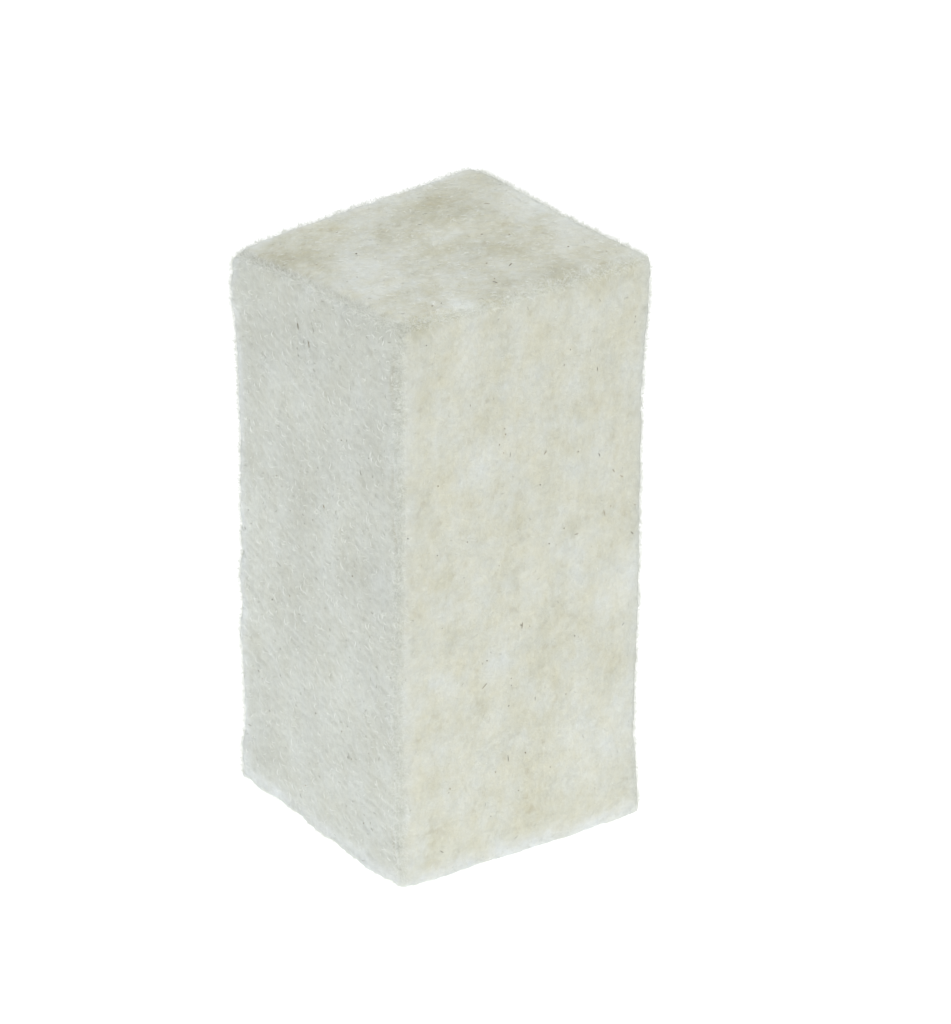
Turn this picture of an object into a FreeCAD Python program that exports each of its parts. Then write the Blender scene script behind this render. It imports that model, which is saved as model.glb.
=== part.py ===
"""Chalkboard eraser: a hand-sized block of thick pressed wool felt, cut square and left bare.

Frame, in millimetres: +Z runs along the block's length, with the origin at the centre of its lower
end. X runs through the felt's thickness and Y across it.

Felt this thick is built up from batts, which are flat layers of carded wool that are stacked,
steamed and fulled into one mass. The batts lie square to X, so the -X and +X sides show the lying
fibre of an outer batt, and the other four sides show the batts' cut edges. Each batt is one solid.
They meet face to face, with no glue, stitching, backing or handle.
"""

import FreeCAD
import Part

import os

# Driving dimensions, in millimetres.
WIDTH = 50.0  # X, through the stacked batts
DEPTH = 50.0  # Y, across the block
LENGTH = 104.0  # Z, the block's long side
EDGE_RADIUS = 2.0  # the cut edges are rounded by handling

# The batts, in order from the -X side to the +X side. They share the width equally.
BATT_NAMES = (
    "left_outer_batt",
    "left_inner_batt",
    "core_batt",
    "right_inner_batt",
    "right_outer_batt",
)
BATT_THICKNESS = WIDTH / len(BATT_NAMES)

OUT_FOLDER = "parts"


def rounded_block():
    """The whole block, with all twelve edges rounded."""
    corner = FreeCAD.Vector(-WIDTH / 2, -DEPTH / 2, 0)
    block = Part.makeBox(WIDTH, DEPTH, LENGTH, corner)
    return block.makeFillet(EDGE_RADIUS, block.Edges)


def batt_space(index):
    """The slab of space that one batt takes, as deep and as long as the block."""
    corner = FreeCAD.Vector(-WIDTH / 2 + index * BATT_THICKNESS, -DEPTH / 2, 0)
    return Part.makeBox(BATT_THICKNESS, DEPTH, LENGTH, corner)


def felt_batts():
    """Node name to solid, from the -X side to the +X side."""
    block = rounded_block()
    return {
        name: block.common(batt_space(index)).Solids[0]
        for index, name in enumerate(BATT_NAMES)
    }


def write_parts():
    """One STEP file for each batt."""
    os.makedirs(OUT_FOLDER, exist_ok=True)
    for name, solid in felt_batts().items():
        solid.exportStep(os.path.join(OUT_FOLDER, name + ".step"))
        print(name, round(solid.Volume), "mm3", "valid" if solid.isValid() else "NOT VALID")


write_parts()
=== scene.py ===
"""The looks of the felt chalkboard eraser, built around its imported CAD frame.

The block is one mass of pressed wool, so its surface is worked out once, over the whole block, and then
shared between the CAD's batts. Each batt becomes its own closed mesh, and neighbours meet in the same
points with the same normals, so that no seam shows. Loose wool is real geometry too: thin closed strands
that lie in the surface or stand proud of the edges, and a few flecks of the plants that the sheep
walked through.

Lengths are in millimetres unless a name says otherwise. X runs through the felt from batt to batt. The
-X and +X sides show lying wool, the -Y and +Y sides are cut along the block, and the ends across it.
"""

import math
from collections import namedtuple

import bpy
import numpy as np
from mathutils import Matrix, Vector
from mathutils.geometry import delaunay_2d_cdt


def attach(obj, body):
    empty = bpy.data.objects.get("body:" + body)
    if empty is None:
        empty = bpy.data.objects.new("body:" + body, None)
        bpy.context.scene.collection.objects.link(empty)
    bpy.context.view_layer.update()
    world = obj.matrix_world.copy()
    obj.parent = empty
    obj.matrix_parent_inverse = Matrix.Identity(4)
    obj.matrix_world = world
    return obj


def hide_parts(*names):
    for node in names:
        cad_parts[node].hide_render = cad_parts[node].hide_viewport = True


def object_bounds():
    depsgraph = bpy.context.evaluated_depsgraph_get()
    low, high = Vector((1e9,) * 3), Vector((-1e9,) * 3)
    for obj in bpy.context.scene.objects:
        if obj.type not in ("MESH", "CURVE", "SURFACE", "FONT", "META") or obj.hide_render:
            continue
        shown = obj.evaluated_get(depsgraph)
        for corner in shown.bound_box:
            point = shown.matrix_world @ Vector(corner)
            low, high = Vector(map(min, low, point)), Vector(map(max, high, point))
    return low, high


MM = 0.001
SEED = 41  # of everything random

# What keeps the fields of noise apart. One that has layers or members counts up from its own number.
RADIUS_FIELD = 1
WAVES_FIELD = 10
RAGGED_FIELD = 20
LOCKS_FIELD = 30
SWIRL_FIELD = 40
LINE_PLACE_FIELD = 70
LINE_STRENGTH_FIELD = 80
RIM_FIELD = 95
WRAP_FIELD = 97
CREASE_FIELD = 98
FRAY_FIELD = 500
FRAY_FIELDS_PER_EDGE = 10
WANDER_FIELD = 600

# The same for the random draws, where each side of the block has its own number, counted from 0.
FLECK_DRAWS = 30
STAIN_DRAWS = 90

# The hand-cut shape, beside the CAD's true box.
INSET = 0.2  # of the felt's own surface: loose wool stands out from it to the true box
EDGE_RADIUS = 1.8
EDGE_RADIUS_SWINGS = ((14.0, 0.6),)  # length and amount of the rounding's changes along the edges
LEAST_EDGE_RADIUS = 0.8
TOP_RISE = {(-1, -1): 0.4, (1, -1): 0.8, (1, 1): 1.1, (-1, 1): -2.4}  # by the signs of x and y
WornCorner = namedtuple("WornCorner", "signs extra_radius reach")  # the signs of x, y and z
WORN_CORNERS = (
    WornCorner((-1, -1, 1), 2.4, 15.0),
    WornCorner((1, 1, 1), 0.6, 6.0),
    WornCorner((-1, -1, -1), 1.6, 6.0),
    WornCorner((1, -1, 1), -1.3, 6.0),
    WornCorner((1, -1, -1), -0.6, 8.0),
)
LOWER_EDGE_CHANGE = -0.8  # of the rounding, near the lower end
LOWER_EDGE_HEIGHTS = (14.0, 4.0)  # above the lower end, where the change starts and where it is full

# Places where the cut strayed: the surface near each is moved by shift. Places are from the middle of the
# lower end.
Stray = namedtuple("Stray", "place reach shift")
STRAYS = (
    Stray((-25, 25, 98), 11.0, (-0.60, 0.40, 0.0)),
    Stray((25, -25, 97), 12.0, (0.60, -0.40, 0.0)),
    Stray((25, -25, 3), 9.0, (0.15, -0.10, 0.0)),
    Stray((-25, 25, 104), 13.0, (0.0, 0.0, -0.9)),
    Stray((11, -25, 0), 12.0, (0.0, -1.0, 0.0)),
    Stray((-25, 10, 0), 4.5, (0.9, 0.0, 0.0)),
    Stray((-25, 25, 45), 22.0, (0.15, -0.10, 0.0)),
    Stray((-25, 25, 5), 12.0, (0.20, -0.20, 0.0)),
    Stray((-25, -25, 90), 22.0, (-0.50, 0.35, 0.0)),
    Stray((-25, -25, 50), 22.0, (-0.50, 0.35, 0.0)),
    Stray((-25, -25, 20), 14.0, (-0.30, 0.20, 0.0)),
    Stray((-25, -25, 73), 4.0, (0.20, -0.15, 0.0)),
    Stray((-25, -25, 33), 4.0, (-0.15, 0.10, 0.0)),
)

# Relief of the surface, as (size of the bumps, height). The ragged edge's shows on the rounded edges only.
WAVES = ((32.0, 0.20), (13.0, 0.12), (5.0, 0.08), (2.4, 0.07), (1.1, 0.055))
RAGGED_EDGE = ((4.5, 0.16), (1.8, 0.08))
LOCK_LENGTH, LOCK_WIDTH = 1.8, 0.9
LOCK_HEIGHTS = {"lying": 0.15, "cut": 0.075, "end": 0.09}  # by the kind of side

# Most edges are paler than the sides, partly as paler wool and partly as painted light: a painted glow
# along the outline, and the floor's light painted on the lower edges. Each says how far in the paleness
# starts to fade, how far in it ends, and how strong it is on the cut wool and on the lying wool.
Paleness = namedtuple("Paleness", "start end on_cut on_lying")
NOT_PALE = Paleness(0.3, 2.8, 0.0, 0.0)
FAINT = Paleness(0.3, 2.8, 0.3, 0.2)
FRONT = Paleness(0.3, 5.0, 0.28, 0.0)
LOWER = Paleness(0.0, 4.5, 1.0, 0.7)
LEFT = Paleness(0.5, 4.0, 0.4, 0.9)
BACK = Paleness(0.3, 3.6, 0.7, 0.5)
PALENESS_WAVER = ((5.0, 0.8), (1.6, 0.4))

# The block's twelve edges, each by the signs of the two axes that it is at the ends of. frayed says how
# badly the lying wool of the left side has pulled loose there.
Edge = namedtuple("Edge", "signs paleness frayed")
EDGES = (
    Edge({0: -1, 1: 1}, LEFT, 1.0),
    Edge({0: -1, 2: 1}, FAINT, 1.0),
    Edge({0: -1, 2: -1}, LEFT, 1.0),
    Edge({0: -1, 1: -1}, FRONT, 0.6),
    Edge({0: 1, 1: -1}, FAINT, 0.0),
    Edge({0: 1, 1: 1}, BACK, 0.0),
    Edge({0: 1, 2: -1}, LOWER, 0.0),
    Edge({0: 1, 2: 1}, FAINT, 0.0),
    Edge({1: -1, 2: -1}, LOWER, 0.0),
    Edge({1: -1, 2: 1}, NOT_PALE, 0.0),
    Edge({1: 1, 2: -1}, LOWER, 0.0),
    Edge({1: 1, 2: 1}, BACK, 0.0),
)
FRAY_RELIEF = ((9.0, 0.28), (3.2, 0.40), (1.5, 0.22))
FRAY_REACH = 2.5

# How far the edges stray sideways, as (length of the waver, amount).
EDGE_WANDER = ((9.0, 0.28), (3.5, 0.16))
WANDER_REACH = 2.5

# The lying wool of the -X and +X sides is pulled round their edges: how far, and how fully by sign.
SKIN_WRAP_REACH = 2.8
SKIN_WRAPS = {-1: 0.45, 1: 0.65}
SKIN_WRAP_WAVER = ((5.0, 0.8),)

# Shallow lines just inside the edges, where the lying skin of a side ends: the side it shows on, the axis
# it is measured along, its place there, and its greatest depth. The material paints their grooves darker,
# towards tan, as the shade in them.
SkinLine = namedtuple("SkinLine", "side axis place depth")
SKIN_LINES = (
    SkinLine("top", 0, -22.7, 0.16),
    SkinLine("top", 0, 22.4, 0.16),
    SkinLine("bottom", 0, -22.5, 0.20),
    SkinLine("bottom", 0, 22.7, 0.20),
    SkinLine("left", 1, -23.2, 0.32),
    SkinLine("right", 1, 23.4, 0.20),
)
SKIN_LINE_WIDTH = 0.45
SKIN_LINE_WAVER = ((6.0, 0.7),)
SKIN_LINE_STRENGTH = 0.2  # on average
SKIN_LINE_SWINGS = ((9.0, 1.2),)  # of the strength, so that the lines come and go

# The upper end is creased along the left side's edge: how far in from that side the crease lies, its
# depth and reach, how strong it is at its front and back ends, how far it wavers, and how much darker
# the loose wool in it is painted, as the shade that falls in the crease.
CREASE_INSET = 0.9
CREASE_DEPTH = 0.7
CREASE_REACH = 1.1
CREASE_STRENGTHS = (0.3, 1.0)
CREASE_WAVER = ((4.0, 0.5),)
CREASE_PAINTED_FUZZ_SHADE = 0.6

# Uneven yellowing, and in the last one painted light. Positive amounts are tan and negative ones are pale.
# Places are from the middle of the lower end.
Stain = namedtuple("Stain", "place radius amount")
STAINS = (
    Stain((10, -25, 58.5), 2.4, 1.0),
    Stain((-8, -25, 62), 1.3, 0.8),
    Stain((-8, -25, 30), 1.9, 0.9),
    Stain((-12, -25, 10), 2.6, 0.6),
    Stain((11, -25, 80), 1.6, 0.8),
    Stain((-16, -25, 83), 2.4, 0.5),
    Stain((-14, -25, 46), 2.2, 0.7),
    Stain((14, -25, 40), 3.2, 0.5),
    Stain((3, -25, 69), 2.6, 0.5),
    Stain((0, -25, 17), 2.6, 0.5),
    Stain((-21, -25, 103), 3.5, 0.8),
    Stain((-23, -25, 79), 3.2, -0.9),
    Stain((-9, -25, 75), 3.4, -0.8),
    Stain((-20, -25, 38), 6.0, -0.6),
    Stain((-20, -25, 23), 4.5, -0.6),
    Stain((-21, -25, 10), 4.0, -0.5),
    Stain((22, -25, 45), 6.0, -0.6),
    Stain((19, -25, 15), 6.5, -0.6),
    Stain((-5, -25, 38), 4.0, -0.5),
    Stain((10, 12, 104), 7.0, 0.7),
    Stain((4, -3, 104), 5.0, 0.9),
    Stain((-21, 14, 104), 5.0, 0.9),
    Stain((-12, -15, 104), 3.5, 0.4),
    Stain((12, -17, 104), 4.0, 0.4),
    Stain((-13, 3, 104), 5.5, -0.9),
    Stain((-18, -9, 104), 5.5, -0.8),
    Stain((23, 6, 104), 6.0, -0.8),
    Stain((23, -8, 104), 6.0, -1.0),
    Stain((-9, -13, 104), 4.5, -0.6),
    Stain((-2, 16, 104), 4.0, -0.4),
    Stain((23, -19, 104), 5.0, -0.7),
    Stain((-12, -23, 104), 3.5, -0.6),
    Stain((0, -22, 104), 5.0, 0.25),
    Stain((8, -22, 104), 4.5, 0.45),
    Stain((17, -23, 104), 5.0, 0.5),
    Stain((-25, 12, 99), 6.0, 0.6),
    Stain((-25, -8, 97), 6.5, 0.6),
    # painted light: a broad pale patch low on the left side, for the floor's light falling on it
    Stain((-25, 5, 12), 16.0, -0.5),
)
HIDDEN_STAINS = 45  # scattered over the sides that nothing above describes
HIDDEN_STAIN_RADIUS = (2.0, 7.0)
HIDDEN_STAIN_AMOUNTS = (-0.8, 0.9)  # one or the other, times a draw from the next
HIDDEN_STAIN_SHARE = (0.5, 1.0)

# The felt's mesh. Each batt has a whole number of cells through its thickness.
CELLS_PER_BATT = 30
INNER_SPACING = 4.0  # between points on the hidden faces, where two batts meet
LEFT_TO_RIGHT = ("left_outer_batt", "left_inner_batt", "core_batt", "right_inner_batt", "right_outer_batt")

# The block's sides. kind says which way the wool is cut, and lay is the angle of its fibres in degrees,
# from the first of the side's two axes to the second.
Side = namedtuple("Side", "name axis high kind lay")
SIDES = (
    Side("left", 0, False, "lying", 25),
    Side("right", 0, True, "lying", -20),
    Side("front", 1, False, "cut", 88),
    Side("back", 1, True, "cut", 95),
    Side("bottom", 2, False, "end", 40),
    Side("top", 2, True, "end", -43),
)
SIDE_FADE = (0.6, 0.95)  # where a side starts and is full, as the part of the facing along its axis
WOOL_FADE = (0.5, 0.95)  # the same for how its wool looks

# The camera. The lens is its focal length, for Blender's usual 36 mm sensor.
CAMERA_AZIMUTH, CAMERA_ELEVATION, CAMERA_ROLL = -35.63, 25.68, 0.385  # degrees
CAMERA_DISTANCE, CAMERA_LENS = 852.8, 175.8
CAMERA_AIM = (5.83, -2.73, 2.45)  # from the middle of the block


# ---- noise

NOISE_TABLE = 256  # gradients, after which the noise repeats
NOISE_AXIS = Vector((0.62, -0.35, 0.7)).normalized()
NOISE_FIRST_TURN = 0.9  # radians
NOISE_TURN = 1.7  # radians from one field to the next
NOISE_SCALE = 1.7  # brings the noise to about -1 to 1
FIELDS_PER_SEED = 1000


def smooth_noise(points, size, field):
    """Gradient noise, about -1 to 1, at points of shape (n, 3). Its bumps are about size across.
    The points are first turned about a slanting axis, so that no bump lines up with the block."""
    rng = np.random.default_rng(SEED * FIELDS_PER_SEED + field)
    shuffle = rng.permutation(NOISE_TABLE)
    gradients = rng.normal(size=(NOISE_TABLE, 3))
    gradients /= np.linalg.norm(gradients, axis=1, keepdims=True)
    turn = np.array(Matrix.Rotation(NOISE_FIRST_TURN + NOISE_TURN * field, 3, NOISE_AXIS))
    place = points @ turn.T / size + rng.uniform(0, NOISE_TABLE, 3)
    cell = np.floor(place).astype(np.int64)
    within = place - cell
    fade = within**3 * (within * (within * 6 - 15) + 10)
    total = np.zeros(len(points))
    for corner in np.ndindex(2, 2, 2):
        step = np.array(corner)
        x, y, z = ((cell + step) % NOISE_TABLE).T
        mixed = shuffle[(shuffle[x] + y) % NOISE_TABLE]
        gradient = gradients[shuffle[(mixed + z) % NOISE_TABLE]]
        weight = np.where(step, fade, 1 - fade).prod(axis=1)
        total += weight * ((within - step) * gradient).sum(axis=1)
    return total * NOISE_SCALE


def layered_noise(points, layers, field):
    """Noise of several sizes, added up. Each layer is its size and its amount."""
    return sum(amount * smooth_noise(points, size, field + i) for i, (size, amount) in enumerate(layers))


def smooth_step(values, start, end):
    """0 at start and beyond, 1 at end and beyond, and an even curve between."""
    share = np.clip((values - start) / (end - start), 0, 1)
    return share * share * (3 - 2 * share)


# ---- the felt's surface


def worn_radius(points, low, high):
    """The edge rounding that applies at each point of the true box."""
    radius = EDGE_RADIUS + layered_noise(points, EDGE_RADIUS_SWINGS, RADIUS_FIELD)
    middle, half = (low + high) / 2, (high - low) / 2
    for corner in WORN_CORNERS:
        distance = np.linalg.norm(points - (middle + half * corner.signs), axis=1)
        radius += corner.extra_radius * np.exp(-((distance / corner.reach) ** 2))
    radius += LOWER_EDGE_CHANGE * smooth_step(points[:, 2] - low[2], *LOWER_EDGE_HEIGHTS)
    return np.maximum(radius, LEAST_EDGE_RADIUS)


def rounded(points, low, high):
    """Points of the true box moved onto the round-edged one, and the way the surface faces there."""
    radius = worn_radius(points, low, high)[:, None]
    core = np.clip(points, low + radius, high - radius)
    facing = points - core
    facing /= np.linalg.norm(facing, axis=1, keepdims=True)
    return core + radius * facing, facing


def out_of_square(points, low, high):
    """How far the uneven saw cut moves each point from the true box. The lift of the upper end fades out
    towards the lower one."""
    share = (points - low) / (high - low)
    lift = np.zeros(len(points))
    for (x_sign, y_sign), rise in TOP_RISE.items():
        x_share = share[:, 0] if x_sign > 0 else 1 - share[:, 0]
        y_share = share[:, 1] if y_sign > 0 else 1 - share[:, 1]
        lift += rise * x_share * y_share
    shift = np.zeros((len(points), 3))
    shift[:, 2] = lift * share[:, 2]
    for stray in STRAYS:
        distance = np.linalg.norm(points - stray.place, axis=1, keepdims=True)
        shift += np.array(stray.shift) * np.exp(-((distance / stray.reach) ** 2))
    return shift


def relief(points, facing):
    """How far the felt stands out from the round-edged block. It isn't inset where it rests on the
    floor."""
    height = -INSET * smooth_step(facing[:, 2], -1.0, 0.0)
    height += layered_noise(points, WAVES, WAVES_FIELD)
    most_round = 1 - math.sqrt(0.5)  # halfway round an edge
    roundness = np.clip((1 - np.abs(facing).max(axis=1)) / most_round, 0, 1)
    height += roundness * layered_noise(points, RAGGED_EDGE, RAGGED_FIELD)
    for side in SIDES:
        height += side_share(facing, side) * matted_locks(points, side)
    return height


def edge_distance(points, edge, low, high):
    """How far each point is from an edge of the true box."""
    gaps = [points[:, axis] - (high if sign > 0 else low)[axis] for axis, sign in edge.signs.items()]
    return np.hypot(*gaps)


def wander(points, low, high):
    """How the uneven cuts move the edges sideways."""
    waver = layered_noise(points, EDGE_WANDER, WANDER_FIELD)
    shift = np.zeros((len(points), 3))
    for edge in EDGES:
        near = np.exp(-((edge_distance(points, edge, low, high) / WANDER_REACH) ** 2))
        first, second = edge.signs
        shift[:, first] += edge.signs[first] * waver * near
        shift[:, second] -= edge.signs[second] * waver * near
    return shift


def fray(points, low, high):
    """The extra raggedness of the frayed edges."""
    height = np.zeros(len(points))
    for number, edge in enumerate(EDGES):
        if not edge.frayed:
            continue
        near = np.exp(-((edge_distance(points, edge, low, high) / FRAY_REACH) ** 2))
        field = FRAY_FIELD + FRAY_FIELDS_PER_EDGE * number
        height += edge.frayed * near * layered_noise(points, FRAY_RELIEF, field)
    return height


def skin_line_depth(points, facing):
    """How deep the skin lines are at each point."""
    depth = np.zeros(len(points))
    by_name = {side.name: side for side in SIDES}
    for number, line in enumerate(SKIN_LINES):
        waver = layered_noise(points, SKIN_LINE_WAVER, LINE_PLACE_FIELD + number)
        across = points[:, line.axis] - line.place - waver
        swing = layered_noise(points, SKIN_LINE_SWINGS, LINE_STRENGTH_FIELD + number)
        strength = np.clip(SKIN_LINE_STRENGTH + swing, 0, 1)
        share = side_share(facing, by_name[line.side])
        depth += line.depth * strength * share * np.exp(-((across / SKIN_LINE_WIDTH) ** 2))
    return depth


def crease(points, low, high):
    """How strongly the crease beside the upper left edge shows at each point."""
    waver = layered_noise(points, CREASE_WAVER, CREASE_FIELD)
    distance = np.hypot(points[:, 0] - low[0] - CREASE_INSET, points[:, 2] - high[2]) + waver
    front, back = CREASE_STRENGTHS
    strength = front + (back - front) * (points[:, 1] - low[1]) / (high[1] - low[1])
    return strength * np.exp(-((distance / CREASE_REACH) ** 2))


def yellowing(points, low, high):
    """The stains' amounts, added up at each point."""
    rng = np.random.default_rng(SEED + STAIN_DRAWS)
    hidden = []
    for _ in range(HIDDEN_STAINS):
        place = rng.uniform(low, high)
        axis, side = ((1, high[1]), (0, high[0]), (2, low[2]))[rng.integers(3)]
        place[axis] = side
        radius = rng.uniform(*HIDDEN_STAIN_RADIUS)
        amount = rng.choice(HIDDEN_STAIN_AMOUNTS) * rng.uniform(*HIDDEN_STAIN_SHARE)
        hidden.append(Stain(place, radius, amount))
    total = np.zeros(len(points))
    for stain in STAINS + tuple(hidden):
        distance = np.linalg.norm(points - stain.place, axis=1)
        total += stain.amount * np.exp(-((distance / stain.radius) ** 2))
    return total


def rim_paleness_and_glow(points, lying, low, high):
    """How strongly the paleness of the block's edges shows at each point: partly paler wool, partly a
    painted glow along the outline and painted floor light on the lower edges.
    """
    waver = layered_noise(points, PALENESS_WAVER, RIM_FIELD)
    share = np.zeros(len(points))
    for edge in EDGES:
        start, end, on_cut, on_lying = edge.paleness
        fading = smooth_step(edge_distance(points, edge, low, high) + waver, start, end)
        strength = on_cut + (on_lying - on_cut) * lying
        share = np.maximum(share, strength * (1 - fading))
    return share


def lying_and_end_shares(points, facing, low, high):
    """How much each point shows lying wool, and how much the wool cut across at the ends."""
    lying, end = [smooth_step(np.abs(facing[:, axis]), *WOOL_FADE) for axis in (0, 2)]
    waver = layered_noise(points, SKIN_WRAP_WAVER, WRAP_FIELD)
    for sign, amount in SKIN_WRAPS.items():
        gap = np.abs(points[:, 0] - (high if sign > 0 else low)[0])
        lying = np.maximum(lying, amount * np.exp(-(((gap + waver) / SKIN_WRAP_REACH) ** 2)))
    return lying, end


def side_share(facing, side):
    """1 where the surface faces that side's way, 0 where it faces any other."""
    along = facing[:, side.axis] * (1 if side.high else -1)
    return smooth_step(along, *SIDE_FADE)


def axes_across(side):
    """The two axes that lie in a side."""
    return [axis for axis in range(3) if axis != side.axis]


def turned_to_lay(points, side):
    """How far points are along the wool's lay on a side, and how far across it."""
    first, second = points[:, axes_across(side)].T
    lay = math.radians(side.lay)
    along = first * math.cos(lay) + second * math.sin(lay)
    across = second * math.cos(lay) - first * math.sin(lay)
    return along, across


def matted_locks(points, side):
    """Long low ridges along the wool's lay."""
    along, across = turned_to_lay(points, side)
    stretched = np.stack([along / LOCK_LENGTH, across / LOCK_WIDTH, points[:, side.axis]], axis=1)
    return LOCK_HEIGHTS[side.kind] * smooth_noise(stretched, 1.0, LOCKS_FIELD + SIDES.index(side))


class Felt:
    """The whole block's surface, as a lattice of points that the batts and the strands share."""

    def __init__(self, low, high):
        self.low, self.high = low, high
        size = high - low
        cell = size[0] / (CELLS_PER_BATT * len(LEFT_TO_RIGHT))
        self.counts = np.round(size / cell).astype(int)
        self.step = size / self.counts
        self.number = np.full(self.counts + 1, -1)
        on_surface = np.ones(self.counts + 1, bool)
        on_surface[1:-1, 1:-1, 1:-1] = False
        self.number[on_surface] = np.arange(on_surface.sum())
        self.places = np.argwhere(on_surface)
        true_box = low + self.places * self.step
        round_edged, self.facing = rounded(true_box, low, high)
        self.line_depth = skin_line_depth(round_edged, self.facing)
        self.crease = crease(round_edged, low, high)
        height = relief(round_edged, self.facing) + fray(round_edged, low, high)
        height -= self.line_depth + CREASE_DEPTH * self.crease
        self.points = round_edged + self.facing * height[:, None]
        self.points += out_of_square(true_box, low, high) + wander(true_box, low, high)
        self.points[:, 2] = np.maximum(self.points[:, 2], low[2])
        self.yellow = yellowing(true_box, low, high)
        self.lying, self.end = lying_and_end_shares(true_box, self.facing, low, high)
        self.rim = rim_paleness_and_glow(true_box, self.lying, low, high)
        self.quads, self.quad_sides = self.all_quads()
        self.normals = self.point_normals()

    def side_numbers(self, side):
        """The point numbers of one side, as a grid over its two axes."""
        return np.moveaxis(self.number, side.axis, 0)[-1 if side.high else 0]

    def side_quads(self, side):
        grid = self.side_numbers(side)
        quads = np.stack([grid[:-1, :-1], grid[1:, :-1], grid[1:, 1:], grid[:-1, 1:]], axis=-1)
        quads = quads.reshape(-1, 4)
        faces_in = side.high == (side.axis == 1)
        return quads[:, ::-1] if faces_in else quads

    def all_quads(self):
        by_side = [self.side_quads(side) for side in SIDES]
        sides = np.repeat(np.arange(len(SIDES)), [len(quads) for quads in by_side])
        return np.concatenate(by_side), sides

    def point_normals(self):
        """Each point's normal, from all the faces round it whichever batt they belong to."""
        corners = self.points[self.quads]
        face_normals = np.cross(corners[:, 2] - corners[:, 0], corners[:, 3] - corners[:, 1])
        normals = np.zeros_like(self.points)
        for corner in range(4):
            np.add.at(normals, self.quads[:, corner], face_normals)
        return normals / np.linalg.norm(normals, axis=1, keepdims=True)

    def at(self, side, across):
        """Surface points and normals at across (..., 2), in mm from the side's lowest corner."""
        grid = self.side_numbers(side)
        place = across / self.step[axes_across(side)]
        last = np.array(grid.shape) - 1
        place = np.clip(place, 0, last - 0.001)  # so that it falls within a cell
        cell = np.floor(place).astype(int)
        share = place - cell
        point, normal = 0, 0
        for i, j in np.ndindex(2, 2):
            numbers = grid[cell[..., 0] + i, cell[..., 1] + j]
            weight = np.abs(1 - i - share[..., 0]) * np.abs(1 - j - share[..., 1])
            point = point + weight[..., None] * self.points[numbers]
            normal = normal + weight[..., None] * self.normals[numbers]
        return point, normal / np.linalg.norm(normal, axis=-1, keepdims=True)


# ---- meshes


def new_object(name, data):
    made = bpy.data.objects.new(name, data)
    bpy.context.scene.collection.objects.link(made)
    return made


def new_mesh(name, points, quads, triangles, smooth):
    """A mesh object from points in mm."""
    mesh = bpy.data.meshes.new(name)
    mesh.vertices.add(len(points))
    mesh.vertices.foreach_set("co", (points * MM).astype(np.float32).ravel())
    corners = np.concatenate([quads.ravel(), triangles.ravel()]).astype(np.int32)
    starts = np.concatenate([np.arange(len(quads)) * 4, quads.size + np.arange(len(triangles)) * 3])
    mesh.loops.add(len(corners))
    mesh.loops.foreach_set("vertex_index", corners)
    mesh.polygons.add(len(starts))
    mesh.polygons.foreach_set("loop_start", starts.astype(np.int32))
    mesh.polygons.foreach_set("use_smooth", np.full(len(starts), smooth))
    mesh.update(calc_edges=True)
    return new_object(name, mesh)


def add_values(piece, name, values):
    """Stores one number per point for the materials to read."""
    attribute = piece.data.attributes.new(name, "FLOAT", "POINT")
    attribute.data.foreach_set("value", np.asarray(values, np.float32))


ONLY_INSIDE_THE_RIM = 1  # what the triangulation calls that choice
JOIN_TOLERANCE = 1e-7
MATERIAL_VALUES = ("lying", "end", "yellow", "rim", "line_depth", "crease")  # of the felt's points


def join_face(felt, place):
    """The hidden face where two batts meet, at lattice place along X: the numbers of the surface points
    round its rim, its inner points, and its triangles over the rim's points followed by the inner ones.
    The triangles face +X."""
    grid = felt.number[place]
    rim = np.concatenate([grid[:-1, 0], grid[-1, :-1], grid[:0:-1, -1], grid[0, :0:-1]])
    inset = INNER_SPACING / 2
    columns = np.arange(felt.low[1] + inset, felt.high[1], INNER_SPACING)
    rows = np.arange(felt.low[2] + inset, felt.high[2], INNER_SPACING)
    inner = np.stack(np.meshgrid(columns, rows, indexing="ij"), axis=-1).reshape(-1, 2)
    x = felt.low[0] + place * felt.step[0]
    inner = np.column_stack([np.full(len(inner), x), inner])
    inner += out_of_square(inner, felt.low, felt.high)
    flat = np.concatenate([felt.points[rim][:, 1:], inner[:, 1:]])
    edges = [(i, (i + 1) % len(rim)) for i in range(len(rim))]
    found = delaunay_2d_cdt([Vector(p) for p in flat], edges, [], ONLY_INSIDE_THE_RIM, JOIN_TOLERANCE)
    faces, sources = found[2], found[3]
    triangles = np.array([[sources[i][0] for i in face] for face in faces])
    return rim, inner, triangles


def batt_piece(felt, index, batt):
    """One batt as a closed mesh: its share of the block's surface, and a hidden face wherever it meets a
    neighbour."""
    first, last = index * CELLS_PER_BATT, (index + 1) * CELLS_PER_BATT
    x_places = felt.places[felt.quads, 0]
    mine = (x_places.min(axis=1) >= first) & (x_places.max(axis=1) <= last)
    quads, sides = felt.quads[mine], felt.quad_sides[mine]
    used, quads = np.unique(quads, return_inverse=True)
    quads = quads.reshape(-1, 4)
    points = felt.points[used]
    normals = [felt.normals[used][quads.ravel()]]
    triangles = []
    for place, outward in ((first, -1), (last, 1)):
        if place in (0, felt.counts[0]):
            continue
        rim, inner, faces = join_face(felt, place)
        numbers = np.concatenate([np.searchsorted(used, rim), len(points) + np.arange(len(inner))])
        points = np.concatenate([points, inner])
        faces = numbers[faces]
        triangles.append(faces if outward > 0 else faces[:, ::-1])
        normals.append(np.tile([outward, 0.0, 0.0], (faces.size, 1)))
    piece = new_mesh("felt_" + batt, points, quads, np.concatenate(triangles), smooth=True)
    piece.data.normals_split_custom_set(np.concatenate(normals).tolist())
    for name in MATERIAL_VALUES:
        add_values(piece, name, np.pad(getattr(felt, name)[used], (0, len(points) - len(used))))
    add_lay_map(piece, len(quads), sides)
    return piece


LAY_MAP_GAP = 300  # keeps the sides' patterns apart


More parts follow.
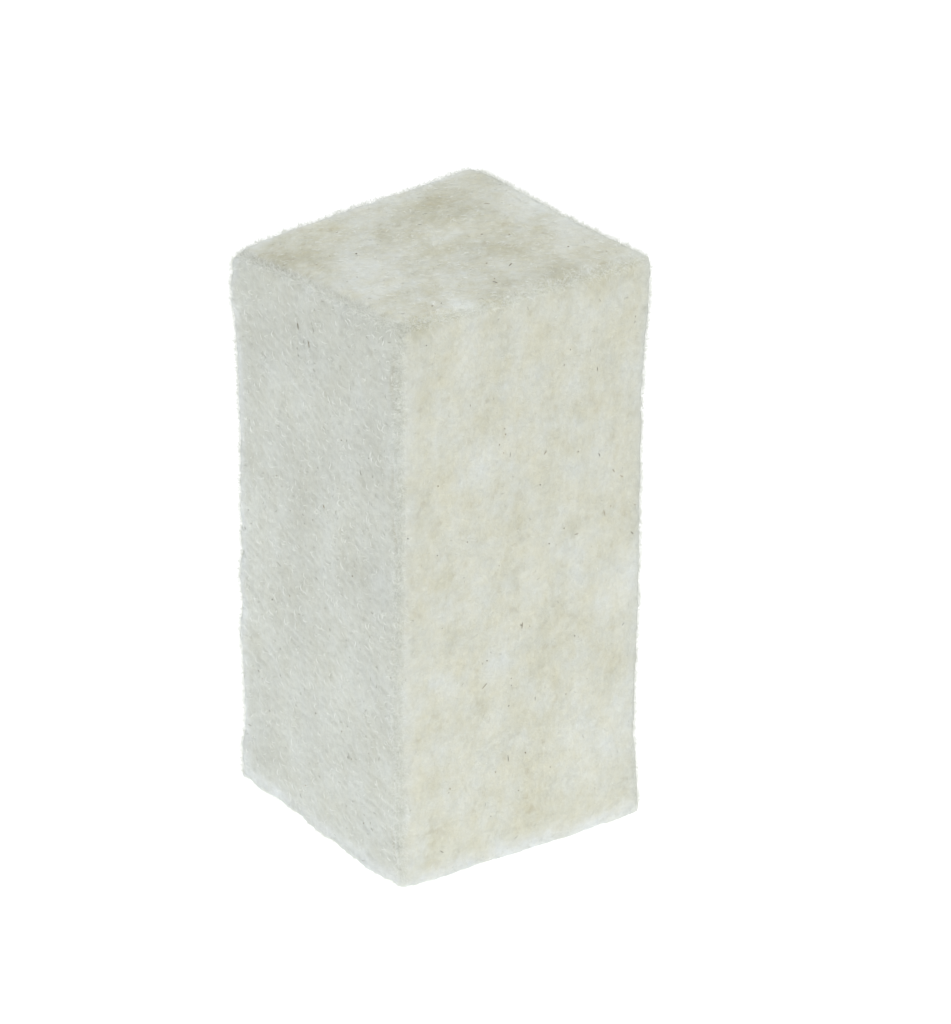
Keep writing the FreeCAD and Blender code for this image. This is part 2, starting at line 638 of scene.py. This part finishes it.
def add_lay_map(piece, quad_count, sides):
    """A UV map in mm whose first axis runs along the wool's lay on each side of the block."""
    mesh = piece.data
    corner_points = np.empty(len(mesh.loops), np.int32)
    mesh.loops.foreach_get("vertex_index", corner_points)
    points = np.empty(len(mesh.vertices) * 3, np.float32)
    mesh.vertices.foreach_get("co", points)
    points = points.reshape(-1, 3)[corner_points] / MM
    corner_sides = np.zeros(len(mesh.loops), int)
    corner_sides[: quad_count * 4] = np.repeat(sides, 4)
    lay_map = np.zeros((len(mesh.loops), 2))
    for number, side in enumerate(SIDES):
        here = corner_sides == number
        along, across = turned_to_lay(points[here], side)
        lay_map[here, 0] = along + LAY_MAP_GAP * number
        lay_map[here, 1] = across
    layer = mesh.uv_layers.new(name="lay")
    layer.data.foreach_set("uv", lay_map.astype(np.float32).ravel())


# ---- strands

RING = 3  # points round a strand
STRAND_POINTS = 5  # points along a strand, counting its two tips
FUZZ_POINTS = 3

Strands = namedtuple("Strands", "paths normals radii tones")  # paths has shape (strands, points, 3)


def strand_piece(name, groups, material):
    """Closed tapered strands, as one mesh on the block. None goes below the floor."""
    paths, normals, radii, tones = [np.concatenate(values) for values in zip(*groups)]
    count, length = paths.shape[:2]
    paths[..., 2] = np.maximum(paths[..., 2], radii[:, None])
    along = np.gradient(paths, axis=1)
    along /= np.linalg.norm(along, axis=2, keepdims=True)
    beside = np.cross(along, normals)
    beside /= np.linalg.norm(beside, axis=2, keepdims=True)
    above = np.cross(beside, along)
    taper = np.sin(np.linspace(0, math.pi, length)[1:-1]) ** 0.5
    rings = []
    for turn in np.arange(RING) * 2 * math.pi / RING:
        out = beside * math.cos(turn) + above * math.sin(turn)
        rings.append(paths[:, 1:-1] + out[:, 1:-1] * (radii[:, None] * taper)[..., None])
    body = np.stack(rings, axis=2).reshape(count, -1, 3)
    points = np.concatenate([paths[:, :1], body, paths[:, -1:]], axis=1)
    quads, triangles = strand_faces(length)
    offsets = (np.arange(count) * points.shape[1])[:, None, None]
    piece = new_mesh(
        name,
        points.reshape(-1, 3),
        (quads + offsets).reshape(-1, 4),
        (triangles + offsets).reshape(-1, 3),
        smooth=False,
    )
    add_values(piece, "tone", np.repeat(tones, points.shape[1]))
    piece.data.materials.append(material)
    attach(piece, "root")


def strand_faces(length):
    """Faces of one strand, whose points are the first tip, the rings in order, and the last tip."""
    ring_count = length - 2
    last_tip = 1 + RING * ring_count
    quads, triangles = [], []
    for i in range(RING):
        following = (i + 1) % RING
        triangles.append((0, 1 + following, 1 + i))
        triangles.append((last_tip, last_tip - RING + i, last_tip - RING + following))
        for ring in range(ring_count - 1):
            start = 1 + ring * RING
            quads.append((start + i, start + following, start + RING + following, start + RING + i))
    return np.array(quads), np.array(triangles)


# Loose strands, by the kind of side. Spread and curl are in degrees, rise is how far they arch over the
# surface, and tone runs from the palest wool at 0 to the darkest at 1. The darkest kind on each side is
# painted shadow: dark strands that stand for the shade in the gaps between locks.
Wool = namedtuple("Wool", "count length spread curl rise radius tone")
WOOL = {
    "lying": (
        Wool(2200, (0.8, 2.4), 45, 60, 0.04, (0.016, 0.032), (0.3, 0.7)),
        Wool(1300, (0.5, 1.9), 50, 90, 0.24, (0.032, 0.062), (0.0, 0.15)),
        Wool(450, (0.3, 1.2), 60, 80, 0.05, (0.028, 0.052), (0.7, 1.0)),
    ),
    "cut": (
        Wool(1500, (0.7, 1.8), 40, 60, 0.02, (0.014, 0.028), (0.3, 0.7)),
        Wool(260, (0.3, 1.0), 50, 80, 0.08, (0.020, 0.038), (0.0, 0.3)),
        Wool(240, (0.3, 1.2), 45, 70, 0.03, (0.020, 0.040), (0.7, 1.0)),
    ),
    "end": (
        Wool(1200, (0.8, 2.2), 45, 60, 0.04, (0.016, 0.030), (0.3, 0.7)),
        Wool(800, (0.4, 1.5), 50, 70, 0.14, (0.024, 0.046), (0.0, 0.2)),
        Wool(160, (0.3, 1.2), 45, 70, 0.04, (0.020, 0.042), (0.7, 1.0)),
    ),
}
SUNK = 0.02  # how far a strand's tips sit below the surface
MOST_RISE = 5  # of a strand, as a multiple of the usual
RIM_GAP = 0.1  # that lying strands keep from their side's rim
SWIRL_SIZE = 11.0  # of the places where strands turn together
SWIRL = 0.8  # how far they turn, as a share of their spread
SWIRL_DEPTH = 50.0  # between the sides' places in the noise, so that their swirls differ

FUZZ_REACH = 1.4  # from the edges
FUZZ_CROWDING = 1.5  # above 1, more of it roots near the edges
FUZZ_TILT = (10, 80)  # degrees from the surface's normal
FUZZ_CURL = 0.35
FUZZ_LENGTH = (0.3, 1.5)
FUZZ_RADIUS = (0.012, 0.024)
FUZZ_TONE = (0.0, 0.45)
FUZZ_CORNER_GAP = 1.0  # the fuzz of three edges meets at each corner, so that each stops short of it
FUZZ_PER_MM = 32  # along each rim

FLECKS_PER_SQUARE_MM = {"lying": 0.004, "cut": 0.010, "end": 0.007}
FLECK_PLACES = (0.04, 0.96)  # as shares of the side
FLECK_SPREAD = 40  # degrees
SLIVER_SHARE = 0.3  # of the flecks, where the rest are specks
SLIVER_LENGTH, SLIVER_RADIUS = (0.7, 1.6), (0.05, 0.09)
SPECK_LENGTH, SPECK_RADIUS = (0.2, 0.4), (0.07, 0.13)


def side_size(felt, side):
    """A side's width and height in the true box."""
    return (felt.high - felt.low)[axes_across(side)]


def lying_strands(felt, side, wool, rng):
    """Curved strands that start and end in the surface and rise a little between."""
    size = side_size(felt, side)
    middle = rng.uniform(0, 1, (wool.count, 2)) * size
    length = rng.uniform(*wool.length, wool.count)
    depth = np.full(wool.count, side.axis * SWIRL_DEPTH)
    swirl = SWIRL * smooth_noise(np.column_stack([middle, depth]), SWIRL_SIZE, SWIRL_FIELD)
    heading = np.radians(side.lay + wool.spread * (rng.normal(size=wool.count) + swirl))
    bend = np.radians(wool.curl) * rng.normal(size=wool.count)
    share = np.linspace(0, 1, STRAND_POINTS)
    angle = heading[:, None] + bend[:, None] * (share - 0.5)
    step = np.stack([np.cos(angle), np.sin(angle)], axis=-1) * (length / (STRAND_POINTS - 1))[:, None, None]
    across = np.cumsum(step, axis=1)
    across += (middle - across.mean(axis=1))[:, None]
    inside = ((across > RIM_GAP) & (across < size - RIM_GAP)).all(axis=(1, 2))
    across, kept = across[inside], int(inside.sum())
    points, normals = felt.at(side, across)
    rise = np.minimum(rng.exponential(wool.rise, kept), MOST_RISE * wool.rise)
    height = rise[:, None] * np.sin(share * math.pi) - SUNK
    paths = points + normals * height[..., None]
    return Strands(paths, normals, rng.uniform(*wool.radius, kept), rng.uniform(*wool.tone, kept))


def fuzz_strands(felt, side, rng, count):
    """Fine short strands rooted near the side's rim, which stand out from it with one free tip."""
    size = side_size(felt, side)
    root = FUZZ_CORNER_GAP + rng.uniform(0, 1, (count, 2)) * (size - 2 * FUZZ_CORNER_GAP)
    share_of_first = size[1] / size.sum()  # of the rim, what lies at the ends of the first axis
    pinned = (rng.uniform(size=count) > share_of_first).astype(int)
    inset = FUZZ_REACH * rng.uniform(0, 1, count) ** FUZZ_CROWDING
    high_end = rng.integers(0, 2, count) == 1
    root[np.arange(count), pinned] = np.where(high_end, size[pinned] - inset, inset)
    point, normal = felt.at(side, root)
    sideways = rng.normal(size=(count, 3))
    sideways -= (sideways * normal).sum(axis=1, keepdims=True) * normal
    sideways /= np.linalg.norm(sideways, axis=1, keepdims=True)
    tilt = np.radians(rng.uniform(*FUZZ_TILT, count))[:, None]
    heading = normal * np.cos(tilt) + sideways * np.sin(tilt)
    length = rng.uniform(*FUZZ_LENGTH, count)[:, None, None]
    curl = rng.normal(0, FUZZ_CURL, (count, 1, 3))
    share = np.linspace(0, 1, FUZZ_POINTS)[None, :, None]
    paths = point[:, None] - SUNK * normal[:, None] + length * (heading[:, None] * share + curl * share**2)
    across = np.repeat(sideways[:, None], FUZZ_POINTS, axis=1)
    # the loose wool in the crease is painted darker, as the shade in it
    tones = rng.uniform(*FUZZ_TONE, count) + CREASE_PAINTED_FUZZ_SHADE * crease(point, felt.low, felt.high)
    return Strands(paths, across, rng.uniform(*FUZZ_RADIUS, count), tones)


def fleck_strands(felt, side, rng, count):
    """Dark slivers and specks, half buried in the side."""
    middle = rng.uniform(*FLECK_PLACES, (count, 2)) * side_size(felt, side)
    slivers = rng.uniform(size=count) < SLIVER_SHARE
    length = np.where(slivers, rng.uniform(*SLIVER_LENGTH, count), rng.uniform(*SPECK_LENGTH, count))
    heading = np.radians(side.lay + FLECK_SPREAD * rng.normal(size=count))
    step = np.stack([np.cos(heading), np.sin(heading)], axis=1)[:, None] * length[:, None, None]
    across = middle[:, None] + step * np.linspace(-0.5, 0.5, STRAND_POINTS)[None, :, None]
    points, normals = felt.at(side, across)
    radii = np.where(slivers, rng.uniform(*SLIVER_RADIUS, count), rng.uniform(*SPECK_RADIUS, count))
    return Strands(points, normals, radii, rng.uniform(size=count))


# ---- materials


class Nodes:
    """Short calls for building a material. An input that is given a socket is linked to it."""

    def __init__(self, name):
        self.material = bpy.data.materials.new(name)
        self.material.use_nodes = True
        self.tree = self.material.node_tree
        self.shader = self.tree.nodes["Principled BSDF"]

    def add(self, kind, inputs, output=0, **settings):
        made = self.tree.nodes.new("ShaderNode" + kind)
        for name, value in settings.items():
            setattr(made, name, value)
        self.fill(made, inputs)
        return made.outputs[output]

    def fill(self, made, inputs):
        for key, value in inputs.items():
            if isinstance(value, bpy.types.NodeSocket):
                self.tree.links.new(value, made.inputs[key])
            else:
                made.inputs[key].default_value = value

    def maths(self, operation, first, second):
        return self.add("Math", {0: first, 1: second}, operation=operation)

    def product(self, first, *others):
        for other in others:
            first = self.maths("MULTIPLY", first, other)
        return first

    def vector_maths(self, operation, first, second):
        return self.add("VectorMath", {0: first, 1: second}, operation=operation)

    def scaled(self, vector, factor):
        return self.add("VectorMath", {0: vector, "Scale": factor}, operation="SCALE")

    def turned(self, vector, degrees):
        """A vector turned about Z."""
        inputs = {"Vector": vector, "Angle": math.radians(degrees)}
        return self.add("VectorRotate", inputs, rotation_type="Z_AXIS")

    def noise(self, vector, size, detail=2.0, dimensions="3D", **inputs):
        """Noise whose bumps are size across, in the vector's own units."""
        given = {"Vector": vector, "Scale": 1 / size, "Detail": detail}
        given.update(inputs)
        return self.add("TexNoise", given, noise_dimensions=dimensions)

    def ranged(self, value, start, end, low=0.0, high=1.0):
        """A number that goes from low to high as value goes from start to end, and no further. Most of a
        noise lies between 0.3 and 0.7."""
        inputs = {"Value": value, "From Min": start, "From Max": end, "To Min": low, "To Max": high}
        return self.add("MapRange", inputs)

    def between(self, share, at_0, at_1):
        """A number that goes from at_0 to at_1 as share goes from 0 to 1."""
        return self.ranged(share, 0.0, 1.0, at_0, at_1)

    def blend(self, share, first, second, blend_type="MIX"):
        """first where share is 0 and second where it is 1."""
        inputs = {0: share, 6: first, 7: second}
        return self.add("Mix", inputs, output=2, data_type="RGBA", blend_type=blend_type)

    def value(self, name):
        """A number stored on the mesh's points."""
        return self.add("Attribute", {}, output="Fac", attribute_name=name)

    def place_mm(self):
        return self.scaled(self.add("TexCoord", {}, output="Object"), 1 / MM)


# Colours of the felt: the palest wool, the usual one, the most yellow one and the spots, which also darkens
# the skin lines' grooves as painted shade, the skin of the lying sides, and the pale rims, which are partly
# paler wool and partly painted light along the outline and the lower edges. Warm and cool are what the
# colours are multiplied by, in patches.
PALE = (0.785, 0.805, 0.742, 1)
CREAM = (0.714, 0.718, 0.611, 1)
STRAW = (0.61, 0.60, 0.463, 1)
TAN = (0.50, 0.46, 0.33, 1)
GREY = (0.67, 0.70, 0.66, 1)
PALE_RIM_AND_GLOW = (0.855, 0.885, 0.875, 1)
WARM = (1.015, 1.0, 0.96, 1)
COOL = (0.985, 1.0, 1.04, 1)
SHEEN_TINT = (0.93, 0.97, 1.0, 1)

# Sizes of what the felt's material draws.
PATCH_SIZE = 8.0
SPOT_SIZE = 2.2
GRAIN_SIZE = 0.9
SHADOW_SIZE = 12.0
TINT_SIZE = 6.0
FINE_SIZE = 0.25
FIBRE_DRIFT_SIZE, FIBRE_DRIFT = 2.5, 1.6
FIBRES = ((0, 1.6, 0.14), (62, 1.4, 0.12), (-57, 1.3, 0.16))  # degrees from the lay, length and width
PATCH_STRETCH = 0.6  # the patches are longer one way by the inverse of this
PATCH_TURN = -54  # degrees, of the stretched patches on the ends

# How strong each is. A pair is for the sides and for the ends, for the cut wool and for the lying wool if
# its name starts with LYING, or between fibres and on them if it starts with FIBRE.
PATCH_CONTRAST = (1.8, 2.8)
STAIN_STRENGTH = (0.32, 0.5)
USUAL_YELLOW = (0.48, 0.52)
END_SHADES = (1.0, 1.037)
LYING_SHADES = (0.953, 0.909)
LYING_GRAIN = (0.035, 0.055)
LYING_TINTS = (1.0, 0.4)
LYING_FIBRE_HEIGHTS = (0.8, 0.55)
FINE_HEIGHT = 0.5
SPOT_STRENGTH = 0.5
GREY_STRENGTH = 0.55
# painted shade: how far the skin lines' grooves are darkened towards tan
LINE_PAINTED_SHADE = 0.5
SHADOW_STRENGTH = 0.35
SOILED_SHADE = -0.05
# painted shade: how dark the felt in the crease is painted, as the shadow in it
CREASE_PAINTED_SHADE = 0.67
FIBRE_SHADES = (0.985, 1.015)
FIBRE_ROUGHNESS = (0.95, 0.82)

# Colours of the loose wool and the plant flecks. The darkest wool colour is painted shadow, for the shade
# in the gaps between locks.
STRAND_PALE = (0.93, 0.945, 0.91, 1)
STRAND_CREAM = (0.75, 0.76, 0.69, 1)
STRAND_PAINTED_SHADOW = (0.26, 0.25, 0.21, 1)
FLECK_LIGHT = (0.30, 0.22, 0.12, 1)
FLECK_DARK = (0.05, 0.04, 0.03, 1)


def fibre_pattern(nodes):
    """Fine crossing fibres, 0 to 1, drawn along the wool's lay."""
    lay = nodes.add("UVMap", {}, uv_map="lay")
    inputs = {"Vector": lay, "Scale": 1 / FIBRE_DRIFT_SIZE, "Detail": 1.0}
    drift = nodes.add("TexNoise", inputs, output="Color")
    centred = nodes.vector_maths("SUBTRACT", drift, (0.5, 0.5, 0.5))
    curved = nodes.vector_maths("ADD", lay, nodes.scaled(centred, FIBRE_DRIFT))
    layers = []
    for degrees, length, width in FIBRES:
        turned = nodes.turned(curved, degrees)
        drawn = nodes.vector_maths("MULTIPLY", turned, (1 / length, 1 / width, 1))
        layers.append(nodes.noise(drawn, 1.0, detail=1.0, dimensions="2D"))
    highest = nodes.maths("MAXIMUM", nodes.maths("MAXIMUM", layers[0], layers[1]), layers[2])
    return nodes.ranged(highest, 0.45, 0.80)


def clouds(nodes, place, end):
    """Soft patches of every scale up to the patch size, drawn out upright on the sides and slantwise on
    the ends."""
    upright = nodes.vector_maths("MULTIPLY", place, (1, 1, PATCH_STRETCH))
    turned = nodes.turned(place, PATCH_TURN)
    slanting = nodes.vector_maths("MULTIPLY", turned, (PATCH_STRETCH, 1, 1))
    on_sides = nodes.noise(upright, PATCH_SIZE, detail=5.0, Roughness=0.75)
    on_ends = nodes.noise(slanting, PATCH_SIZE, detail=5.0, Roughness=0.78)
    return nodes.add("Mix", {0: end, 2: on_sides, 3: on_ends}, data_type="FLOAT")


def felt_yellowness(nodes, place, end):
    """How yellow the wool is: 0 is palest, a half is the usual cream, and 1 is straw."""
    patches = nodes.maths("SUBTRACT", clouds(nodes, place, end), 0.5)
    patches = nodes.product(patches, nodes.between(end, *PATCH_CONTRAST))
    stains = nodes.product(nodes.value("yellow"), nodes.between(end, *STAIN_STRENGTH))
    both = nodes.maths("ADD", patches, stains)
    return nodes.maths("ADD", both, nodes.between(end, *USUAL_YELLOW))


def felt_colour(nodes, place, lying, end):
    """The wool's colour before it is shaded."""
    yellow = felt_yellowness(nodes, place, end)
    colour = nodes.blend(nodes.ranged(yellow, 0.0, 0.5), PALE, CREAM)
    colour = nodes.blend(nodes.ranged(yellow, 0.5, 1.0), colour, STRAW)
    spots = nodes.ranged(nodes.noise(place, SPOT_SIZE, detail=1.5), 0.60, 0.74)
    spots = nodes.product(spots, nodes.ranged(yellow, 0.3, 0.8), SPOT_STRENGTH)
    colour = nodes.blend(spots, colour, TAN)
    colour = nodes.blend(nodes.product(lying, GREY_STRENGTH), colour, GREY)
    # the pale rims: partly paler wool, partly a painted glow along the outline and painted floor light on
    # the lower edges
    colour = nodes.blend(nodes.value("rim"), colour, PALE_RIM_AND_GLOW)
    # the skin lines' grooves painted darker, towards tan, as the shade in them
    painted_line_shade = nodes.ranged(nodes.value("line_depth"), 0.05, 0.35, 0.0, LINE_PAINTED_SHADE)
    colour = nodes.blend(painted_line_shade, colour, TAN)
    tint = nodes.noise(place, TINT_SIZE, detail=4.0, Roughness=0.7)
    tint = nodes.blend(nodes.ranged(tint, 0.35, 0.65), WARM, COOL)
    return nodes.blend(nodes.between(lying, *LYING_TINTS), colour, tint, "MULTIPLY")


def felt_shade(nodes, place, lying, end, fibres):
    """What the wool's colour is multiplied by, painted shade in the crease included."""
    grain = nodes.noise(place, GRAIN_SIZE, detail=2.0, Distortion=0.8)
    grain = nodes.ranged(grain, 0.3, 0.7, -1.0, 1.0)
    grain = nodes.product(grain, nodes.between(lying, *LYING_GRAIN))
    shadows = nodes.noise(place, SHADOW_SIZE, detail=4.0, Roughness=0.6)
    shadows = nodes.maths("SUBTRACT", shadows, 0.5)
    shadows = nodes.product(shadows, nodes.maths("MAXIMUM", lying, end), SHADOW_STRENGTH)
    soiled = nodes.product(nodes.value("yellow"), end, SOILED_SHADE)
    return nodes.product(
        nodes.maths("ADD", grain, 1.0),
        nodes.between(fibres, *FIBRE_SHADES),
        nodes.maths("ADD", shadows, 1.0),
        nodes.maths("ADD", soiled, 1.0),
        nodes.between(lying, *LYING_SHADES),
        nodes.between(end, *END_SHADES),
        # painted shade in the crease
        nodes.between(nodes.value("crease"), 1.0, CREASE_PAINTED_SHADE),
    )


def felt_material():
    nodes = Nodes("pressed_wool_felt")
    place = nodes.place_mm()
    lying, end = nodes.value("lying"), nodes.value("end")
    fibres = fibre_pattern(nodes)
    colour = felt_colour(nodes, place, lying, end)
    shade = felt_shade(nodes, place, lying, end, fibres)
    fine = nodes.product(nodes.noise(place, FINE_SIZE, detail=2.0), FINE_HEIGHT)
    drawn = nodes.product(fibres, nodes.between(lying, *LYING_FIBRE_HEIGHTS))
    height = nodes.maths("ADD", fine, drawn)
    nodes.fill(
        nodes.shader,
        {
            "Base Color": nodes.scaled(colour, shade),
            "Roughness": nodes.between(fibres, *FIBRE_ROUGHNESS),
            "Normal": nodes.add("Bump", {"Height": height, "Strength": 0.7, "Distance": 0.12 * MM}),
            "Specular IOR Level": 0.25,
            "Sheen Weight": 0.5,
            "Sheen Roughness": 0.35,
            "Sheen Tint": SHEEN_TINT,
        },
    )
    return nodes.material


def strand_material():
    """Loose wool: each strand has its own tone, which drifts a little along it. The darkest tones are
    painted shadow.
    """
    nodes = Nodes("loose_wool")
    drift = nodes.noise(nodes.place_mm(), 1.2, detail=1.0)
    tone = nodes.maths("ADD", nodes.value("tone"), nodes.ranged(drift, 0.3, 0.7, -0.08, 0.08))
    colour = nodes.blend(nodes.ranged(tone, 0.0, 0.5), STRAND_PALE, STRAND_CREAM)
    # the darkest strands are painted shadow
    colour = nodes.blend(nodes.ranged(tone, 0.65, 1.0), colour, STRAND_PAINTED_SHADOW)
    nodes.fill(nodes.shader, {"Base Color": colour, "Roughness": 0.7, "Sheen Weight": 0.2})
    return nodes.material


def fleck_material():
    """Dry plant: each fleck has its own tone, from straw to nearly black."""
    nodes = Nodes("plant_fleck")
    drift = nodes.noise(nodes.place_mm(), 0.8, detail=2.0)
    tone = nodes.maths("ADD", nodes.value("tone"), nodes.ranged(drift, 0.3, 0.7, -0.2, 0.2))
    colour = nodes.blend(tone, FLECK_LIGHT, FLECK_DARK)
    nodes.fill(nodes.shader, {"Base Color": colour, "Roughness": 0.6})
    return nodes.material


# ---- the surroundings


FLOOR_REACH = 3.0  # metres
FLOOR_COLOUR = (0.6, 0.6, 0.6, 1)
FLOOR_GLOW_COLOUR = (0.99, 0.995, 1.0, 1)
FLOOR_GLOW = (0.91, 0.62)  # near the block, and far from it
FLOOR_GLOW_FADE = (0.06, 0.5)  # metres from the block's middle, where near ends and far starts
SKY_LIGHT = (0.97, 0.985, 1.0, 1)
SKY_STRENGTH = 0.58
BACKDROP = (0.985, 0.99, 1.0, 1)

# Soft square lamps that point at the block. Distance and size are in metres.
Lamp = namedtuple("Lamp", "name azimuth elevation distance size watts colour")
LAMPS = (
    Lamp("key", 10, 70, 1.2, 0.7, 5.0, (1.0, 0.99, 0.96)),
    Lamp("fill", -100, 50, 1.2, 0.8, 1.8, (0.95, 0.98, 1.0)),
)


def look_at(thing, target):
    thing.rotation_euler = (target - thing.location).to_track_quat("-Z", "Y").to_euler()


def direction(azimuth, elevation):
    """From the block towards a place at these degrees. Azimuth 0 is towards -Y and 90 towards +X."""
    a, e = math.radians(azimuth), math.radians(elevation)
    return Vector((math.sin(a) * math.cos(e), -math.cos(a) * math.cos(e), math.sin(e)))


def add_camera(middle):
    data = bpy.data.cameras.new("camera")
    data.lens = CAMERA_LENS
    data.clip_start = 0.01
    camera = new_object("camera", data)
    aim = middle + Vector(CAMERA_AIM) * MM
    camera.location = aim + direction(CAMERA_AZIMUTH, CAMERA_ELEVATION) * CAMERA_DISTANCE * MM
    look_at(camera, aim)
    camera.rotation_euler.rotate_axis("Z", math.radians(CAMERA_ROLL))
    bpy.context.scene.camera = camera


def add_lamp(lamp, middle):
    data = bpy.data.lights.new(lamp.name, "AREA")
    data.shape = "SQUARE"
    data.size = lamp.size
    data.energy = lamp.watts
    data.color = lamp.colour
    placed = new_object(lamp.name, data)
    placed.location = middle + direction(lamp.azimuth, lamp.elevation) * lamp.distance
    look_at(placed, middle)


def add_floor(z):
    """A plain pale floor that glows a little, so that it stays near white under soft light."""
    mesh = bpy.data.meshes.new("floor")
    signs = ((-1, -1), (1, -1), (1, 1), (-1, 1))
    corners = [(x * FLOOR_REACH, y * FLOOR_REACH, z) for x, y in signs]
    mesh.from_pydata(corners, [], [(0, 1, 2, 3)])
    floor = new_object("floor", mesh)
    nodes = Nodes("pale_floor")
    place = nodes.add("TexCoord", {}, output="Object")
    distance = nodes.add("VectorMath", {0: place}, output="Value", operation="LENGTH")
    nodes.fill(
        nodes.shader,
        {
            "Base Color": FLOOR_COLOUR,
            "Roughness": 0.9,
            "Emission Color": FLOOR_GLOW_COLOUR,
            "Emission Strength": nodes.ranged(distance, *FLOOR_GLOW_FADE, *FLOOR_GLOW),
        },
    )
    mesh.materials.append(nodes.material)


def add_world():
    """Even light from all round. The camera itself sees plain near-white beyond the floor."""
    world = bpy.data.worlds.new("studio")
    world.use_nodes = True
    tree = world.node_tree
    lit = tree.nodes["Background"]
    lit.inputs["Color"].default_value = SKY_LIGHT
    lit.inputs["Strength"].default_value = SKY_STRENGTH
    seen = tree.nodes.new("ShaderNodeBackground")
    seen.inputs["Color"].default_value = BACKDROP
    path = tree.nodes.new("ShaderNodeLightPath")
    mix = tree.nodes.new("ShaderNodeMixShader")
    tree.links.new(path.outputs["Is Camera Ray"], mix.inputs[0])
    tree.links.new(lit.outputs[0], mix.inputs[1])
    tree.links.new(seen.outputs[0], mix.inputs[2])
    tree.links.new(mix.outputs[0], tree.nodes["World Output"].inputs["Surface"])
    bpy.context.scene.world = world


# ---- the object


def add_batts(felt):
    material = felt_material()
    for index, name in enumerate(LEFT_TO_RIGHT):
        piece = batt_piece(felt, index, name)
        piece.data.materials.append(material)
        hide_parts(name)
        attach(piece, "root")


def add_loose_wool(felt):
    material = strand_material()
    for number, side in enumerate(SIDES):
        rng = np.random.default_rng(SEED + number)
        lying = [lying_strands(felt, side, wool, rng) for wool in WOOL[side.kind]]
        strand_piece("nap_" + side.name, lying, material)
        if side.name == "bottom":
            continue  # it rests on the floor, which presses its fuzz flat
        rim_length = 2 * side_size(felt, side).sum()
        fuzz = fuzz_strands(felt, side, rng, int(FUZZ_PER_MM * rim_length))
        strand_piece("fuzz_" + side.name, [fuzz], material)


def add_flecks(felt):
    rng = np.random.default_rng(SEED + FLECK_DRAWS)
    flecks = []
    for side in SIDES:
        count = int(FLECKS_PER_SQUARE_MM[side.kind] * side_size(felt, side).prod())
        flecks.append(fleck_strands(felt, side, rng, count))
    strand_piece("plant_flecks", flecks, fleck_material())


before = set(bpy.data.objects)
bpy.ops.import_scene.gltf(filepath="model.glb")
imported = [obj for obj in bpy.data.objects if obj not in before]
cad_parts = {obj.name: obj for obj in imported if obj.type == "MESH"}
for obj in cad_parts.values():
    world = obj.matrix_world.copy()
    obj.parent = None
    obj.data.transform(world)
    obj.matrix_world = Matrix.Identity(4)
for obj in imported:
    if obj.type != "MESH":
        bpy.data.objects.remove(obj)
cad_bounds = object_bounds()
cad_low, cad_high = [np.array(corner) / MM for corner in cad_bounds]
block_middle = (cad_bounds[0] + cad_bounds[1]) / 2

felt = Felt(cad_low, cad_high)
add_batts(felt)
add_loose_wool(felt)
add_flecks(felt)

add_camera(block_middle)
add_world()
add_floor(cad_bounds[0].z)
for lamp in LAMPS:
    add_lamp(lamp, block_middle)
bpy.context.scene.view_settings.view_transform = "Standard"
